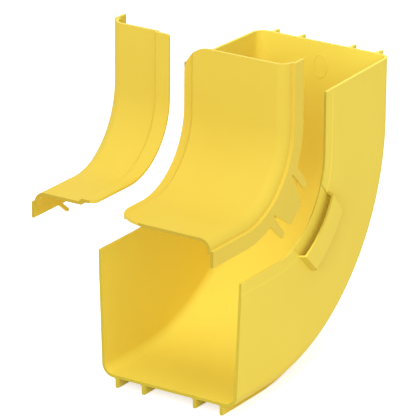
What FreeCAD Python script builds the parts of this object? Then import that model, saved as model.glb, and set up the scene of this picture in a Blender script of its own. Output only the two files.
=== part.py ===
import FreeCAD, Part
import math
import os

# Fibre raceway fitting: an open trough that turns a horizontal run upward through a right angle,
# and the two halves of its latching cover. Millimetres, +Z up, X across the duct.
# The origin is the middle of the floor's underside at the lower, horizontal end.
# "r" is a distance from the bend's axis, which runs along X. Every wall of the fitting follows
# that one axis, so the floor, the rims and the cover are concentric round the bend.

# Trough
DUCT_WIDTH = 160.0         # outside, across the rims
DUCT_HEIGHT = 127.0        # from the floor's underside to the rims
WALL = 2.9
WALL_LEAN = 2.1            # degrees, each side wall leans outward
FLOOR_CORNER_R = 12.5      # outside, where a wall meets the floor
RIM_BEND_R = 83.0          # radius of the rims round the bend
LEG_LENGTH = 62.0          # straight length of each leg beyond the bend
EDGE_BREAK = 0.5           # chamfer that breaks the edge of a rim, a rib or a lip
REBATE_DEPTH = 0.35        # outside of the rims, where the cover's flange sits
REBATE_RAMP = 1.5          # length over which the rebate runs out
FLANGE_DEPTH = 13.0        # how far the cover's flange reaches down past the rims

# Ribs under the floor
OUTER_RIB_INSET = 16.643   # from a wall's face at the floor in to the outer rib's middle
RIB_PITCH = 29.9           # from the outer rib in to the inner one
RIB_THICKNESS = 3.4
RIB_HEIGHT = 9.8
RIB_ROOT = 1.5             # chamfer that thickens a rib where it meets the floor

# Latch pocket on the outside of each wall, at the middle of the bend
POCKET_HALF_WIDTH = 32.4   # inside, at the lip
POCKET_TAPER = 4.3         # degrees, each cheek closes in away from the lip
POCKET_DRAFT = 15.0        # degrees, each cheek leans in away from the wall
POCKET_WALL = 2.2          # lip plate and cheeks
POCKET_LENGTH = 29.6       # from the lip to where the plate turns in
POCKET_FOOT = 2.5          # length over which the plate comes back to the wall
POCKET_MOUTH = 5.1         # clear depth at the lip, from the wall's face
POCKET_TOE = 4.4           # clear depth where the plate turns in
POCKET_TOE_R = 4.0
POCKET_CORNER_R = 9.0      # plan corners between the cheeks and the foot
POCKET_RELIEF = 1.2        # the wall's face is sunk by this behind the latch
LIP_GAP = 0.6              # from the flange's lower edge to the lip

# Cover
COVER_RISE = 14.0          # cover's outer face above the rims
COVER_WALL = 3.0
COVER_CORNER_R = 11.0      # outside, along each side
SEAT_GAP = 0.3             # between the cover and what it sits on
FLANGE_CLEARANCE = 0.3     # between a flange and the outside of the rebate
COVER_SETBACK = 5.0        # the cover stops short of the trough's lower end
SPLIT_PLACE = -26.0        # X of the split between the two halves' faces
SPLIT_GAP = 0.5
LAP_WIDTH = 14.5           # strip of the left half that laps over the right half
LAP_CORNER_R = 9.0
TONGUE_WIDTH = 8.5         # strip of the right half that lies under the left half
TONGUE_CORNER_R = 42.0     # free corners of the right half, in plan
JOG = 3.5                  # width of the jog from a face to its lap or tongue

# Latch tab and its two guide fingers, cut in the flange at the middle of the bend
TAB_REACH = 29.5           # past the flange's lower edge
TAB_ROOT_HALF = 20.6
TAB_TIP_HALF = 11.8
TAB_TIP_R = 1.5
FINGER_REACH = 23.5
FINGER_SIDE_GAP = 0.8      # from a finger to the pocket's cheek
FINGER_TIP_WIDTH = 6.0
FINGER_TIP_R = 1.5
FINGER_SLOT = 2.4          # between a finger and the tab, at the root
SLOT_INSET = 8.0           # how far the slots reach up into the flange
TAB_THIN = 1.4             # thickness at the tip

# Prong on the left half's flange, beside the lower leg and leaning towards the bend
PRONG_START = 19.0         # from the bend back to the prong's root, along the leg
PRONG_ROOT = 5.0           # how far its root reaches up into the flange
PRONG_REACH = 10.0         # past the flange's lower edge
PRONG_RUN = 18.0           # how far the tip lies ahead of the root, along the leg
PRONG_WIDTH = 3.6
PRONG_TIP_R = 1.5

# Where the halves are shown, drawn off the trough (X, Y, Z from closed)
COVER_DRAWN = (0.0, -58.5, 46.0)
LEFT_DRAWN = (-34.0, -1.5, 8.0)   # left half, measured from the right half

# Sizes that follow
FLOOR_R = RIM_BEND_R + DUCT_HEIGHT
BEND_Y = LEG_LENGTH
BEND_Z = FLOOR_R
LEAN = math.tan(math.radians(WALL_LEAN))
FLANGE_END_R = RIM_BEND_R + FLANGE_DEPTH
REBATE_END_R = FLANGE_END_R + SEAT_GAP
LIP_R = FLANGE_END_R + LIP_GAP
FACE_R = RIM_BEND_R - COVER_RISE
LEDGE_R = RIM_BEND_R - SEAT_GAP            # underside of the ledge that sits on a rim
FLANGE_IN = DUCT_WIDTH / 2 - REBATE_DEPTH + FLANGE_CLEARANCE
FLANGE_OUT = FLANGE_IN + COVER_WALL
COVER_SIDE = FLANGE_IN - SEAT_GAP
SQUARE = math.radians(90)
SPAN = 2 * DUCT_WIDTH                      # longer than anything that it cuts
SMALLEST = 1e-6                            # a shorter side is left out

X_AXIS = FreeCAD.Vector(1, 0, 0)
Y_AXIS = FreeCAD.Vector(0, 1, 0)
Z_AXIS = FreeCAD.Vector(0, 0, 1)
BEND_CENTRE = FreeCAD.Vector(0, BEND_Y, BEND_Z)
OUTWARD = FreeCAD.Vector(0, math.sin(SQUARE / 2), -math.cos(SQUARE / 2))   # middle of the bend
ALONG = FreeCAD.Vector(0, math.cos(SQUARE / 2), math.sin(SQUARE / 2))


def wall_face(r):
    """X of the right wall's outer face at a distance r from the bend's axis."""
    return DUCT_WIDTH / 2 - LEAN * (r - RIM_BEND_R)


def in_section(x, r):
    """Point of the duct's section, in the plane of the lower end."""
    return FreeCAD.Vector(x, 0, BEND_Z - r)


def in_bend(along, out, x):
    """Point beside the bend's middle: along the bend, out from its axis, and across the duct."""
    return BEND_CENTRE + ALONG * along + OUTWARD * out + X_AXIS * x


def rounded_wire(corners, place):
    """Closed wire through corners (u, v, radius). A negative radius is a chamfer of that reach."""
    points = [FreeCAD.Vector(u, v, 0) for u, v, radius in corners]
    starts, ends, middles = [], [], []
    for index, here in enumerate(points):
        radius = corners[index][2]
        back = (points[index - 1] - here).normalize()
        on = (points[(index + 1) % len(points)] - here).normalize()
        half = back.getAngle(on) / 2
        reach = radius / math.tan(half) if radius > 0 else -radius
        starts.append(here + back * reach)
        ends.append(here + on * reach)
        bisector = (back + on).normalize()
        middles.append(here + bisector * (radius / math.sin(half) - radius))
    edges = []
    for index in range(len(points)):
        start, end = starts[index], ends[index]
        if corners[index][2] > 0:
            arc = [place(p.x, p.y) for p in (start, middles[index], end)]
            edges.append(Part.Arc(*arc).toShape())
        sides = [] if corners[index][2] > 0 else [(start, end)]
        sides.append((end, starts[(index + 1) % len(points)]))
        for near, far in sides:
            if near.distanceToPoint(far) > SMALLEST:
                edges.append(Part.LineSegment(place(near.x, near.y), place(far.x, far.y)).toShape())
    return Part.Wire(edges)


def rounded_face(corners, place):
    return Part.Face(rounded_wire(corners, place))


def along_duct(section, setback=0):
    """Solid with the given section through the lower leg, the bend and the upper leg."""
    lower = section.translated(Y_AXIS * setback).extrude(Y_AXIS * (LEG_LENGTH - setback))
    at_bend = section.translated(Y_AXIS * LEG_LENGTH)
    bend = at_bend.revolve(BEND_CENTRE, X_AXIS, 90)
    at_top = at_bend.rotated(BEND_CENTRE, X_AXIS, 90)
    upper = at_top.extrude(Z_AXIS * LEG_LENGTH)
    return lower.fuse([bend, upper]).removeSplitter()


def round_bend(corners):
    """Solid with the given section, turned through the bend only."""
    section = rounded_face(corners, in_section).translated(Y_AXIS * LEG_LENGTH)
    return section.revolve(BEND_CENTRE, X_AXIS, 90)


def mirrored(shape):
    return shape.mirror(FreeCAD.Vector(), X_AXIS)


def trough_section():
    """Half of the trough's section from the floor's middle, then its mirror image."""
    rim_x = wall_face(RIM_BEND_R)
    rib_foot = FLOOR_R + RIB_HEIGHT
    outer_rib = wall_face(FLOOR_R) - OUTER_RIB_INSET
    outside = []
    for place in (outer_rib - RIB_PITCH, outer_rib):
        left = place - RIB_THICKNESS / 2
        right = place + RIB_THICKNESS / 2
        outside += [(left, FLOOR_R, -RIB_ROOT), (left, rib_foot, -EDGE_BREAK),
                    (right, rib_foot, -EDGE_BREAK), (right, FLOOR_R, -RIB_ROOT)]
    outside.append((wall_face(FLOOR_R), FLOOR_R, FLOOR_CORNER_R))
    outside.append((wall_face(REBATE_END_R), REBATE_END_R, 0))
    ramp_top = REBATE_END_R - REBATE_RAMP
    outside.append((wall_face(ramp_top) - REBATE_DEPTH, ramp_top, 0))
    outside.append((rim_x - REBATE_DEPTH, RIM_BEND_R, -EDGE_BREAK))
    inside = [(rim_x - WALL, RIM_BEND_R, -EDGE_BREAK),
              (wall_face(FLOOR_R) - WALL, FLOOR_R - WALL, FLOOR_CORNER_R - WALL)]
    half = outside + inside
    other_half = [(-x, r, radius) for x, r, radius in reversed(half)]
    return rounded_face(half + other_half, in_section)


def pocket_plate_x(out, depth_from_wall):
    """X of a lip plate surface that stands clear of the wall's face by the given depth."""
    return wall_face(out) + depth_from_wall


def pocket_block(grow):
    """Right-hand pocket as a solid: its outer form where grow is the wall, its hollow where 0."""
    toe_out = LIP_R + POCKET_LENGTH
    foot_out = toe_out + POCKET_FOOT + grow
    mouth = pocket_plate_x(LIP_R, POCKET_MOUTH + grow)
    toe = pocket_plate_x(toe_out, POCKET_TOE + grow)
    slope = (mouth - toe) / POCKET_LENGTH
    start_out = LIP_R / 2
    start = mouth + slope * (LIP_R - start_out)
    root = wall_face(foot_out) - POCKET_RELIEF - WALL / 2
    profile = round_bend([(root, start_out, 0), (start, start_out, 0), (toe, toe_out, POCKET_TOE_R),
                          (root, foot_out, 0)])
    taper = math.tan(math.radians(POCKET_TAPER))
    draft = math.tan(math.radians(POCKET_DRAFT))

    def plan(x):
        lip_half = POCKET_HALF_WIDTH + grow - draft * (x - FLANGE_OUT)
        start_half = lip_half + taper * (LIP_R - start_out)
        foot_half = lip_half - taper * (foot_out - LIP_R)
        return rounded_wire([(-start_half, start_out, 0), (start_half, start_out, 0),
                             (foot_half, foot_out, POCKET_CORNER_R),
                             (-foot_half, foot_out, POCKET_CORNER_R)],
                            lambda along, out: in_bend(along, out, x))

    cheeks = Part.makeLoft([plan(root), plan(start + grow)], True, True)
    return profile.common(cheeks)


def inside_cylinder(radius):
    """Round bar on the bend's axis, wider than the fitting."""
    return Part.makeCylinder(radius, SPAN, BEND_CENTRE - X_AXIS * (SPAN / 2), X_AXIS)


def fitting_body():
    trough = along_duct(trough_section())
    # The latch pocket's hollow stops at the wall's sunk face
    sunk = wall_face(0) - POCKET_RELIEF
    sunk_far = wall_face(SPAN) - POCKET_RELIEF
    core = round_bend([(0, 1, 0), (sunk - LEAN, 1, 0), (sunk_far, SPAN, 0), (0, SPAN, 0)])
    bulge = pocket_block(POCKET_WALL).cut(inside_cylinder(LIP_R))
    hollow = pocket_block(0).cut(core)
    trough = trough.fuse([bulge, mirrored(bulge)])
    return trough.cut([hollow, mirrored(hollow)]).removeSplitter()


def cover_side():
    """Right-hand side of the cover's section, from its outer face down to the flange and back."""
    ledge_top = LEDGE_R - COVER_WALL
    outside = [(COVER_SIDE, FACE_R, COVER_CORNER_R),
               (COVER_SIDE, ledge_top, -EDGE_BREAK),
               (FLANGE_OUT, ledge_top, -EDGE_BREAK),
               (FLANGE_OUT, FLANGE_END_R, -EDGE_BREAK)]
    inner_side = COVER_SIDE - COVER_WALL
    inside = [(FLANGE_IN, FLANGE_END_R, -EDGE_BREAK),
              (FLANGE_IN, LEDGE_R, 0),
              (inner_side, LEDGE_R, -EDGE_BREAK),
              (inner_side, FACE_R + COVER_WALL, COVER_CORNER_R - COVER_WALL)]
    return outside + inside


def latch_tab():
    """Right-hand latch tab and guide fingers, as one plate that thins towards its tips."""
    tip = FLANGE_END_R + TAB_REACH
    root = FLANGE_END_R - SLOT_INSET
    taper = math.tan(math.radians(POCKET_TAPER))
    finger_tip = FLANGE_END_R + FINGER_REACH
    outer_root = POCKET_HALF_WIDTH - FINGER_SIDE_GAP + taper * SLOT_INSET
    outer_tip = POCKET_HALF_WIDTH - FINGER_SIDE_GAP - taper * FINGER_REACH
    inner_root = TAB_ROOT_HALF + FINGER_SLOT
    inner_tip = outer_tip - FINGER_TIP_WIDTH
    outlines = [[(-TAB_ROOT_HALF, root, 0), (TAB_ROOT_HALF, root, 0),
                 (TAB_TIP_HALF, tip, TAB_TIP_R), (-TAB_TIP_HALF, tip, TAB_TIP_R)]]
    for hand in (1, -1):
        outlines.append([(hand * inner_root, root, 0), (hand * outer_root, root, 0),
                         (hand * outer_tip, finger_tip, FINGER_TIP_R),
                         (hand * inner_tip, finger_tip, FINGER_TIP_R)])
    thinning = (COVER_WALL - TAB_THIN) / (tip - FLANGE_END_R)
    side = rounded_face([(root, FLANGE_IN, 0), (root, FLANGE_OUT, 0), (FLANGE_END_R, FLANGE_OUT, 0),
                         (tip, FLANGE_OUT - thinning * (tip - FLANGE_END_R), 0), (tip, FLANGE_IN, 0)],
                        lambda out, x: in_bend(-SPAN / 2, out, x))
    plate = side.extrude(ALONG * SPAN)
    blades = []
    for outline in outlines:
        face = rounded_face(outline, lambda along, out: in_bend(along, out, FLANGE_IN - 1))
        blades.append(face.extrude(X_AXIS * (COVER_WALL + 2)).common(plate))
    return blades


def latch_slots():
    """The two slots that free the tab's sides from the flange."""
    root = FLANGE_END_R - SLOT_INSET
    past = FLANGE_END_R + SLOT_INSET
    slots = []
    for hand in (1, -1):
        face = rounded_face([(hand * TAB_ROOT_HALF, past, 0), (hand * TAB_ROOT_HALF, root, FINGER_SLOT / 3),
                             (hand * (TAB_ROOT_HALF + FINGER_SLOT), root, FINGER_SLOT / 3),
                             (hand * (TAB_ROOT_HALF + FINGER_SLOT), past, 0)],
                            lambda along, out: in_bend(along, out, FLANGE_IN - 1))
        slots.append(face.extrude(X_AXIS * (COVER_WALL + 2)))
    return slots


def with_latch(cover):
    return cover.fuse(latch_tab()).cut(latch_slots()).removeSplitter()


def corner_cutter(edge_x, radius):
    """What is cut off the free corners of a cover that lies on the +X side of edge_x."""
    pieces = []
    for direction in (Y_AXIS, Z_AXIS):
        def place(u, v, direction=direction):
            if direction is Y_AXIS:
                return FreeCAD.Vector(edge_x + u, COVER_SETBACK + v, BEND_Z - FLANGE_END_R)
            return FreeCAD.Vector(edge_x + u, BEND_Y + FLANGE_END_R, BEND_Z + LEG_LENGTH - v)
        depth = Z_AXIS * SPAN if direction is Y_AXIS else -Y_AXIS * SPAN
        square = rounded_face([(-radius, -radius, 0), (radius, -radius, 0), (radius, radius, 0),
                               (-radius, radius, 0)], place).extrude(depth)
        kept = rounded_face([(0, 0, radius), (3 * radius, 0, 0), (3 * radius, 3 * radius, 0),
                             (0, 3 * radius, 0)], place).extrude(depth)
        pieces.append(square.cut(kept))
    return pieces


def cover_right_half():
    tongue_outer = FACE_R + COVER_WALL + SEAT_GAP
    tongue_inner = tongue_outer + COVER_WALL
    tongue_edge = SPLIT_PLACE - TONGUE_WIDTH
    corners = [(tongue_edge, tongue_outer, -EDGE_BREAK),
               (SPLIT_PLACE, tongue_outer, 0),
               (SPLIT_PLACE + JOG, FACE_R, -EDGE_BREAK)]
    corners += cover_side()
    corners += [(SPLIT_PLACE + JOG + COVER_WALL, FACE_R + COVER_WALL, 0),
                (SPLIT_PLACE + COVER_WALL, tongue_inner, 0),
                (tongue_edge, tongue_inner, -EDGE_BREAK)]
    cover = along_duct(rounded_face(corners, in_section), COVER_SETBACK)
    cover = cover.cut(corner_cutter(tongue_edge, TONGUE_CORNER_R))
    return with_latch(cover)


def prong():
    """Slender prong that leans down out of the flange, for the right-hand side."""
    root_r = FLANGE_END_R - PRONG_ROOT
    tip_r = FLANGE_END_R + PRONG_REACH
    root = FreeCAD.Vector(BEND_Y - PRONG_START, root_r, 0)
    tip = FreeCAD.Vector(BEND_Y - PRONG_START + PRONG_RUN, tip_r, 0)
    aside = Z_AXIS.cross(tip - root).normalize() * (PRONG_WIDTH / 2)
    outline = [(root - aside, 0), (tip - aside, PRONG_TIP_R), (tip + aside, PRONG_TIP_R), (root + aside, 0)]
    face = rounded_face([(point.x, point.y, radius) for point, radius in outline],
                        lambda y, r: FreeCAD.Vector(FLANGE_IN, y, BEND_Z - r))
    return face.extrude(X_AXIS * COVER_WALL)


def cover_left_half():
    # Written for the right-hand side and mirrored, so its split lies at -SPLIT_PLACE
    face_inner = FACE_R + COVER_WALL
    lap_outer = FACE_R - COVER_WALL - SEAT_GAP
    lap_inner = FACE_R - SEAT_GAP
    edge = -SPLIT_PLACE + SPLIT_GAP
    lap_edge = edge - LAP_WIDTH
    corners = [(lap_edge, lap_outer, -EDGE_BREAK),
               (edge, lap_outer, -EDGE_BREAK),
               (edge + JOG, FACE_R, 0)]
    corners += cover_side()
    corners += [(edge, face_inner, -EDGE_BREAK),
                (edge, lap_inner, 0),
                (lap_edge, lap_inner, -EDGE_BREAK)]
    cover = along_duct(rounded_face(corners, in_section), COVER_SETBACK)
    cover = cover.cut(corner_cutter(lap_edge, LAP_CORNER_R)).fuse(prong())
    return mirrored(with_latch(cover))


def build():
    drawn = FreeCAD.Vector(*COVER_DRAWN)
    left_drawn = drawn + FreeCAD.Vector(*LEFT_DRAWN)
    parts = {"fitting_body": fitting_body(),
             "cover_right_half": cover_right_half().translated(drawn),
             "cover_left_half": cover_left_half().translated(left_drawn)}
    os.makedirs("parts", exist_ok=True)
    for node, shape in parts.items():
        solid = shape.Solids[0] if len(shape.Solids) == 1 else shape
        solid.exportStep("parts/%s.step" % node)
        print(node, "solids", len(shape.Solids), "valid", shape.isValid(), "volume", round(shape.Volume, 1))


build()
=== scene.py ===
import math

import bpy
from mathutils import Matrix, Vector


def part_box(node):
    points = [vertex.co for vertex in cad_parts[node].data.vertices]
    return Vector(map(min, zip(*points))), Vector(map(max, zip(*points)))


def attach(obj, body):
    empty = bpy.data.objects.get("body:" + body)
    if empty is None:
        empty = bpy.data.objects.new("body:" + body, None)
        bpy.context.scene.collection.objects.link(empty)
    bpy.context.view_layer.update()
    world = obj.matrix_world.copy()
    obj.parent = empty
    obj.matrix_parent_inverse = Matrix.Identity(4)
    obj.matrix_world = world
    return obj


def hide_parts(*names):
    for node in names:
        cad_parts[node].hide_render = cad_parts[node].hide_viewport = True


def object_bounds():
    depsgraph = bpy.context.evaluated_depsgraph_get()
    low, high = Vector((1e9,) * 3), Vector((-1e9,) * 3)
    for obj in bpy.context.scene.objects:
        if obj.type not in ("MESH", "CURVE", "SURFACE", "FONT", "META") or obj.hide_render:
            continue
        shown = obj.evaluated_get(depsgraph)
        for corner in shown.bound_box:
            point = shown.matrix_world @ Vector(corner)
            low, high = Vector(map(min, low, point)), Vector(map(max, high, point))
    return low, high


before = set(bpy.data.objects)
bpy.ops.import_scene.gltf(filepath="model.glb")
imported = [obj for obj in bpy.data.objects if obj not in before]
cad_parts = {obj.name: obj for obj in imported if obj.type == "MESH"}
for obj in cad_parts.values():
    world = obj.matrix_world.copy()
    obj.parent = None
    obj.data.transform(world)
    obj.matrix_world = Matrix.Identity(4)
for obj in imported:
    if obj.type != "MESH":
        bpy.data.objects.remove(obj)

CAD_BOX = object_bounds()

MM = 0.001

# Camera: the photograph's viewpoint, found by fitting the trough's edges
CAMERA_AIM = Vector((0.0, 150.0, 120.0)) * MM
CAMERA_AZIMUTH = math.radians(32.81)
CAMERA_ELEVATION = math.radians(20.63)
CAMERA_ROLL = math.radians(0.43)
CAMERA_DISTANCE = 3899.0 * MM
CAMERA_RIGHT_SHIFT = 43.68 * MM
CAMERA_UP_SHIFT = -14.96 * MM
CAMERA_SEES_TO = 100.0
PHOTO_WIDTH = 420
PIXELS_PER_MM = 1.0435
SENSOR_WIDTH = 36.0

# Trough: its sizes as the solids have them, for what is placed on it
DUCT_HEIGHT = 127.0 * MM
DUCT_WALL = 2.9 * MM
RIB_HEIGHT = 9.8 * MM

# Faces with painted shade (darker) and painted light (paler): how far their masks reach, and how
# squarely a face looks along its axis
FACE_MARGIN = 0.6 * MM
POCKET_PAST_RIM = 10.0 * MM
FACING_FROM = 0.45
FACING_FULL = 0.75

# Oval mould mark inside the upper leg's floor
MARK_X = -2.8 * MM
MARK_BELOW_END = 24.4 * MM
MARK_HALF_WIDTH = 7.3 * MM
MARK_HALF_LENGTH = 11.3 * MM
MARK_BEAD = 0.6 * MM
MARK_SUNK = 0.12 * MM
MARK_STEPS = 96
BEAD_STEPS = 10
INTO_FLOOR = Vector((0.0, 1.0, 0.0))

# Free corners of the cover in plan: as the solids have them, and as the photograph shows the upper ones
TONGUE_CORNER = 42.0 * MM
UPPER_TONGUE_CORNER = 30.0 * MM
LAP_CORNER = 9.0 * MM
UPPER_LAP_CORNER = 3.5 * MM
CUT_TOLERANCE = 0.05 * MM

# Colours, linear
YELLOW = (0.862, 0.644, 0.073)
YELLOW_DEEP = (0.842, 0.622, 0.067)
# Painted shade: darker tones for the faces that look along -Y
TROUGH_PAINTED_SHADE = (0.470, 0.325, 0.025)
COVER_PAINTED_SHADE = (0.620, 0.440, 0.038)
# Painted light: a paler tone for the upper end faces, which look along +Z
YELLOW_PAINTED_LIGHT = (0.960, 0.770, 0.120)
PAPER = (0.9, 0.9, 0.9)
WHITE = (1.0, 1.0, 1.0)

# Plastic: colour drift, gloss, mould grain and edges
DRIFT_SCALE = 9.0
DRIFT_DETAIL = 3.0
DRIFT_ALL_DEEP = 0.30
DRIFT_ALL_YELLOW = 0.62
GLOSS_SCALE = 55.0
GLOSS_DETAIL = 4.0
ROUGHNESS_LOW = 0.46
ROUGHNESS_HIGH = 0.58
SPECULAR_LEVEL = 0.08
GRAIN_SCALE = 900.0
GRAIN_DETAIL = 2.0
GRAIN_STRENGTH = 0.06
GRAIN_DEPTH = 0.2 * MM
EDGE_RADIUS = 0.3 * MM
EDGE_SAMPLES = 6

# Light: places and sizes in metres, powers in watts
WORLD_LEVEL = 0.61
BACKDROP_LEVEL = 1.0
LIGHTS_AIM = Vector((0.0, 0.12, 0.14))
LIGHT_DISTANCE = 3.0
LIGHT_SIZE = 2.2
SKY_COLOUR = (0.76, 0.76, 1.0)
TOP_TOWARD = Vector((0.10, -0.20, 0.97))
TOP_POWER = 44.0
FRONT_TOWARD = Vector((0.10, -0.90, 0.42))
FRONT_POWER = 19.0
RIGHT_TOWARD = Vector((0.92, -0.20, 0.33))
RIGHT_POWER = 8.0
INSIDE_COLOUR = (0.56, 0.78, 1.0)
INSIDE_TOWARD = Vector((0.20, -0.90, 0.34))
INSIDE_POWER = 90.0

# Floor: its glow and its size in metres
FLOOR_GLOW = 0.66
FLOOR_SIZE = 12.0


def camera_axes(azimuth, elevation, roll):
    """Right, up and looking directions of a view that circles +Z, with azimuth 0 looking along +Y."""
    looking = Vector((-math.sin(azimuth) * math.cos(elevation),
                      math.cos(azimuth) * math.cos(elevation),
                      -math.sin(elevation)))
    right = Vector((math.cos(azimuth), math.sin(azimuth), 0.0))
    up = right.cross(looking)
    turned_right = right * math.cos(roll) + up * math.sin(roll)
    turned_up = up * math.cos(roll) - right * math.sin(roll)
    return turned_right, turned_up, looking


def add_camera():
    right, up, looking = camera_axes(CAMERA_AZIMUTH, CAMERA_ELEVATION, CAMERA_ROLL)
    eye = CAMERA_AIM - right * CAMERA_RIGHT_SHIFT - up * CAMERA_UP_SHIFT - looking * CAMERA_DISTANCE
    data = bpy.data.cameras.new("camera")
    data.sensor_fit = "HORIZONTAL"
    data.sensor_width = SENSOR_WIDTH
    focal_pixels = PIXELS_PER_MM * CAMERA_DISTANCE / MM
    data.lens = focal_pixels / PHOTO_WIDTH * SENSOR_WIDTH
    data.clip_end = CAMERA_SEES_TO
    camera = bpy.data.objects.new("camera", data)
    axes = Matrix((right, up, -looking)).transposed().to_4x4()
    camera.matrix_world = Matrix.Translation(eye) @ axes
    bpy.context.scene.collection.objects.link(camera)
    bpy.context.scene.camera = camera


def add_area_light(name, toward, power, colour):
    """Round area light that stands in the given direction from the object and faces it."""
    data = bpy.data.lights.new(name, "AREA")
    data.shape = "DISK"
    data.size = LIGHT_SIZE
    data.energy = power
    data.color = colour
    light = bpy.data.objects.new(name, data)
    away = toward.normalized() * LIGHT_DISTANCE
    turned = (-away).to_track_quat("-Z", "Y")
    light.matrix_world = Matrix.Translation(LIGHTS_AIM + away) @ turned.to_matrix().to_4x4()
    bpy.context.scene.collection.objects.link(light)
    return light


def light_trough_only(light):
    """The photo's trough is lit evenly to its depth, so this light reaches nothing but the trough."""
    lit = bpy.data.collections.new("lit_by_" + light.name)
    lit.objects.link(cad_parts["fitting_body"])
    lit.objects.link(bpy.data.objects["mould_mark"])
    light.light_linking.receiver_collection = lit


def opaque(colour):
    return (*colour, 1.0)


def seen_by(tree, first_kind, *other_kinds):
    """1 for rays of the named kinds, else 0."""
    rays = tree.nodes.new("ShaderNodeLightPath")
    seen = rays.outputs[first_kind]
    for kind in other_kinds:
        either = tree.nodes.new("ShaderNodeMath")
        either.operation = "MAXIMUM"
        tree.links.new(seen, either.inputs[0])
        tree.links.new(rays.outputs[kind], either.inputs[1])
        seen = either.outputs[0]
    return seen


def white_background(tree, level):
    background = tree.nodes.new("ShaderNodeBackground")
    background.inputs["Color"].default_value = opaque(WHITE)
    background.inputs["Strength"].default_value = level
    return background


def add_world():
    """White to look at and in reflections, and dimmer as a light."""
    world = bpy.data.worlds.new("studio")
    bpy.context.scene.world = world
    world.use_nodes = True
    tree = world.node_tree
    tree.nodes.clear()
    output = tree.nodes.new("ShaderNodeOutputWorld")
    light = white_background(tree, WORLD_LEVEL)
    backdrop = white_background(tree, BACKDROP_LEVEL)
    seen = seen_by(tree, "Is Camera Ray", "Is Glossy Ray", "Is Transmission Ray")
    mix = tree.nodes.new("ShaderNodeMixShader")
    tree.links.new(seen, mix.inputs[0])
    tree.links.new(light.outputs[0], mix.inputs[1])
    tree.links.new(backdrop.outputs[0], mix.inputs[2])
    tree.links.new(mix.outputs[0], output.inputs["Surface"])


def floor_material():
    """White paper that keeps the object's shadow, lifted by a glow for camera and glossy rays."""
    material = bpy.data.materials.new("white_floor")
    material.use_nodes = True
    tree = material.node_tree
    tree.nodes.clear()
    output = tree.nodes.new("ShaderNodeOutputMaterial")
    paper = tree.nodes.new("ShaderNodeBsdfDiffuse")
    paper.inputs["Color"].default_value = opaque(PAPER)
    glow = tree.nodes.new("ShaderNodeEmission")
    glow.inputs["Color"].default_value = opaque(WHITE)
    level = tree.nodes.new("ShaderNodeMath")
    level.operation = "MULTIPLY"
    level.inputs[1].default_value = FLOOR_GLOW
    both = tree.nodes.new("ShaderNodeAddShader")
    tree.links.new(seen_by(tree, "Is Camera Ray", "Is Glossy Ray"), level.inputs[0])
    tree.links.new(level.outputs[0], glow.inputs["Strength"])
    tree.links.new(paper.outputs[0], both.inputs[0])
    tree.links.new(glow.outputs[0], both.inputs[1])
    tree.links.new(both.outputs[0], output.inputs["Surface"])
    return material


def add_floor():
    """Square sheet that the ribs of the lower leg stand on."""
    mesh = bpy.data.meshes.new("floor")
    half = FLOOR_SIZE / 2
    z = CAD_BOX[0][2]
    corners = [(-half, -half, z), (half, -half, z), (half, half, z), (-half, half, z)]
    mesh.from_pydata(corners, [], [(0, 1, 2, 3)])
    floor = bpy.data.objects.new("floor", mesh)
    mesh.materials.append(floor_material())
    bpy.context.scene.collection.objects.link(floor)


def face_mask(tree, place, axis, side, limit):
    """Mask of the faces past a limit on an object axis that look along it, with side +1 or -1.

    It is 1 where a face looks squarely that way, less on a chamfer and 0 elsewhere.
    """
    where = tree.nodes.new("ShaderNodeSeparateXYZ")
    past = tree.nodes.new("ShaderNodeMath")
    past.operation = "GREATER_THAN" if side > 0 else "LESS_THAN"
    past.inputs[1].default_value = limit
    facing = tree.nodes.new("ShaderNodeSeparateXYZ")
    squareness = tree.nodes.new("ShaderNodeMapRange")
    squareness.inputs["From Min"].default_value = side * FACING_FROM
    squareness.inputs["From Max"].default_value = side * FACING_FULL
    both = tree.nodes.new("ShaderNodeMath")
    both.operation = "MULTIPLY"
    tree.links.new(place.outputs["Object"], where.inputs["Vector"])
    tree.links.new(where.outputs[axis], past.inputs[0])
    tree.links.new(place.outputs["Normal"], facing.inputs["Vector"])
    tree.links.new(facing.outputs[axis], squareness.inputs["Value"])
    tree.links.new(past.outputs[0], both.inputs[0])
    tree.links.new(squareness.outputs["Result"], both.inputs[1])
    return both.outputs[0]


def noise(tree, place, scale, detail):
    texture = tree.nodes.new("ShaderNodeTexNoise")
    texture.inputs["Scale"].default_value = scale
    texture.inputs["Detail"].default_value = detail
    tree.links.new(place.outputs["Object"], texture.inputs["Vector"])
    return texture.outputs["Fac"]


def drifting_yellow(tree, place):
    ramp = tree.nodes.new("ShaderNodeValToRGB")
    deep, yellow = ramp.color_ramp.elements
    deep.position = DRIFT_ALL_DEEP
    deep.color = opaque(YELLOW_DEEP)
    yellow.position = DRIFT_ALL_YELLOW
    yellow.color = opaque(YELLOW)
    tree.links.new(noise(tree, place, DRIFT_SCALE, DRIFT_DETAIL), ramp.inputs["Fac"])
    return ramp.outputs["Color"]


def toned(tree, base, tone, mask):
    """The base colour with another tone where the mask is 1."""
    mix = tree.nodes.new("ShaderNodeMix")
    mix.data_type = "RGBA"
    mix.inputs["B"].default_value = opaque(tone)
    tree.links.new(mask, mix.inputs["Factor"])
    tree.links.new(base, mix.inputs["A"])
    return mix.outputs["Result"]


def uneven_gloss(tree, place):
    roughness = tree.nodes.new("ShaderNodeMapRange")
    roughness.inputs["To Min"].default_value = ROUGHNESS_LOW
    roughness.inputs["To Max"].default_value = ROUGHNESS_HIGH
    tree.links.new(noise(tree, place, GLOSS_SCALE, GLOSS_DETAIL), roughness.inputs["Value"])
    return roughness.outputs["Result"]


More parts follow.
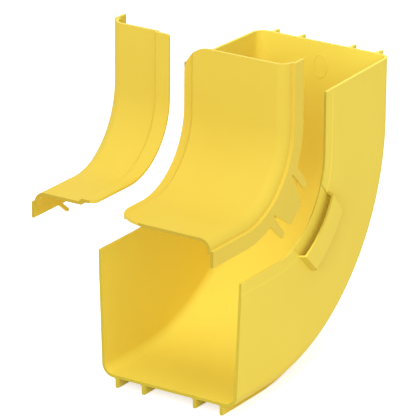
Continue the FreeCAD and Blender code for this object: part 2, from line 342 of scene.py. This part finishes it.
def grained_normal(tree, place):
    """Normals of softened edges with a fine mould grain over them."""
    edges = tree.nodes.new("ShaderNodeBevel")
    edges.samples = EDGE_SAMPLES
    edges.inputs["Radius"].default_value = EDGE_RADIUS
    bump = tree.nodes.new("ShaderNodeBump")
    bump.inputs["Strength"].default_value = GRAIN_STRENGTH
    bump.inputs["Distance"].default_value = GRAIN_DEPTH
    tree.links.new(noise(tree, place, GRAIN_SCALE, GRAIN_DETAIL), bump.inputs["Height"])
    tree.links.new(edges.outputs["Normal"], bump.inputs["Normal"])
    return bump.outputs["Normal"]


def moulded_plastic(name, painted_shade_colour, painted_shade_up_to_y, painted_light_from_z):
    """Satin yellow moulding.

    The narrow faces that look along -Y, up to the given y, are darkened with painted shade, and the
    upper end face, from the given z, is made paler with painted light.
    """
    material = bpy.data.materials.new(name)
    material.use_nodes = True
    tree = material.node_tree
    shader = tree.nodes["Principled BSDF"]
    place = tree.nodes.new("ShaderNodeTexCoord")
    # Painted shade: the faces that look along -Y are darkened
    front_painted_shade = face_mask(tree, place, "Y", -1, painted_shade_up_to_y)
    # Painted light: the upper end faces are made paler
    upper_painted_light = face_mask(tree, place, "Z", 1, painted_light_from_z)
    colour = toned(tree, drifting_yellow(tree, place), painted_shade_colour, front_painted_shade)
    colour = toned(tree, colour, YELLOW_PAINTED_LIGHT, upper_painted_light)
    tree.links.new(colour, shader.inputs["Base Color"])
    tree.links.new(uneven_gloss(tree, place), shader.inputs["Roughness"])
    tree.links.new(grained_normal(tree, place), shader.inputs["Normal"])
    shader.inputs["Specular IOR Level"].default_value = SPECULAR_LEVEL
    return material


def recut_corner(mesh, edge_x, side, old_radius, new_radius):
    """Move the rounded cut of an upper plan corner from one radius to another, along the duct only.

    edge_x is the free edge, and side is +1 where the sheet lies on the +X side of it.
    """
    end_z = max(vertex.co.z for vertex in mesh.vertices)

    def cut_height(reach, radius):
        if reach >= radius:
            return end_z
        return end_z - radius + math.sqrt(max(radius ** 2 - (radius - reach) ** 2, 0.0))

    for vertex in mesh.vertices:
        reach = side * (vertex.co.x - edge_x)
        above_cut = vertex.co.z - cut_height(reach, old_radius)
        if reach < old_radius and abs(above_cut) < CUT_TOLERANCE:
            vertex.co.z = cut_height(reach, new_radius)


def cover_skin(name, node_name, body, edge_x, side, old_radius, new_radius):
    """Copy of a cover half whose upper free corner is rounded as the photograph shows."""
    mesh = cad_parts[node_name].data.copy()
    mesh.name = name
    recut_corner(mesh, edge_x, side, old_radius, new_radius)
    skin = bpy.data.objects.new(name, mesh)
    bpy.context.scene.collection.objects.link(skin)
    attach(skin, body)
    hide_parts(node_name)
    return skin


def oval_bead(centre):
    """Vertices and faces of a round bead along an oval in the plane square to Y."""
    vertices = []
    faces = []
    for step in range(MARK_STEPS):
        turn = 2 * math.pi * step / MARK_STEPS
        across, along = math.cos(turn), math.sin(turn)
        point = centre + Vector((MARK_HALF_WIDTH * across, MARK_SUNK, MARK_HALF_LENGTH * along))
        outward = Vector((across / MARK_HALF_WIDTH, 0.0, along / MARK_HALF_LENGTH)).normalized()
        for side in range(BEAD_STEPS):
            angle = 2 * math.pi * side / BEAD_STEPS
            around = outward * math.cos(angle) - INTO_FLOOR * math.sin(angle)
            vertices.append(point + MARK_BEAD * around)
    for step in range(MARK_STEPS):
        here = step * BEAD_STEPS
        after = (step + 1) % MARK_STEPS * BEAD_STEPS
        for side in range(BEAD_STEPS):
            other = (side + 1) % BEAD_STEPS
            faces.append((here + side, after + side, after + other, here + other))
    return vertices, faces


def mould_mark(centre):
    """Low oval bead that the mould left on the floor's inner face, which looks along -Y."""
    vertices, faces = oval_bead(centre)
    mesh = bpy.data.meshes.new("mould_mark")
    mesh.from_pydata(vertices, [], faces)
    mesh.shade_smooth()
    mark = bpy.data.objects.new("mould_mark", mesh)
    bpy.context.scene.collection.objects.link(mark)
    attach(mark, "trough")
    return mark


def dress(piece, material):
    piece.data.materials.clear()
    piece.data.materials.append(material)


def dress_trough():
    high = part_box("fitting_body")[1]
    outer_floor_y = high[1] - RIB_HEIGHT
    rim_y = outer_floor_y - DUCT_HEIGHT
    # Painted shade on the faces that look along -Y, and painted light on the upper end face
    plastic = moulded_plastic("trough_plastic", TROUGH_PAINTED_SHADE,
                              rim_y + POCKET_PAST_RIM, high[2] - FACE_MARGIN)
    dress(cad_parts["fitting_body"], plastic)
    mark = mould_mark(Vector((MARK_X, outer_floor_y - DUCT_WALL, high[2] - MARK_BELOW_END)))
    dress(mark, plastic)


def dress_covers():
    """Recut skins. The free edge is the right half's lowest x and the left half's highest."""
    right_edge_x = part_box("cover_right_half")[0][0]
    left_edge_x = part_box("cover_left_half")[1][0]
    skins = [cover_skin("right_cover_sheet", "cover_right_half", "right_cover",
                        right_edge_x, 1, TONGUE_CORNER, UPPER_TONGUE_CORNER),
             cover_skin("left_cover_sheet", "cover_left_half", "left_cover",
                        left_edge_x, -1, LAP_CORNER, UPPER_LAP_CORNER)]
    for skin in skins:
        lower_end = min(vertex.co.y for vertex in skin.data.vertices)
        upper_end = max(vertex.co.z for vertex in skin.data.vertices)
        # Painted shade on the faces that look along -Y, and painted light on the upper end face
        dress(skin, moulded_plastic("plastic_of_" + skin.name, COVER_PAINTED_SHADE,
                                    lower_end + FACE_MARGIN, upper_end - FACE_MARGIN))


def main():
    bpy.context.scene.view_settings.view_transform = "Standard"
    add_camera()
    add_world()
    add_floor()
    dress_trough()
    dress_covers()
    add_area_light("top", TOP_TOWARD, TOP_POWER, SKY_COLOUR)
    add_area_light("front", FRONT_TOWARD, FRONT_POWER, SKY_COLOUR)
    add_area_light("right", RIGHT_TOWARD, RIGHT_POWER, WHITE)
    light_trough_only(add_area_light("inside", INSIDE_TOWARD, INSIDE_POWER, INSIDE_COLOUR))


main()
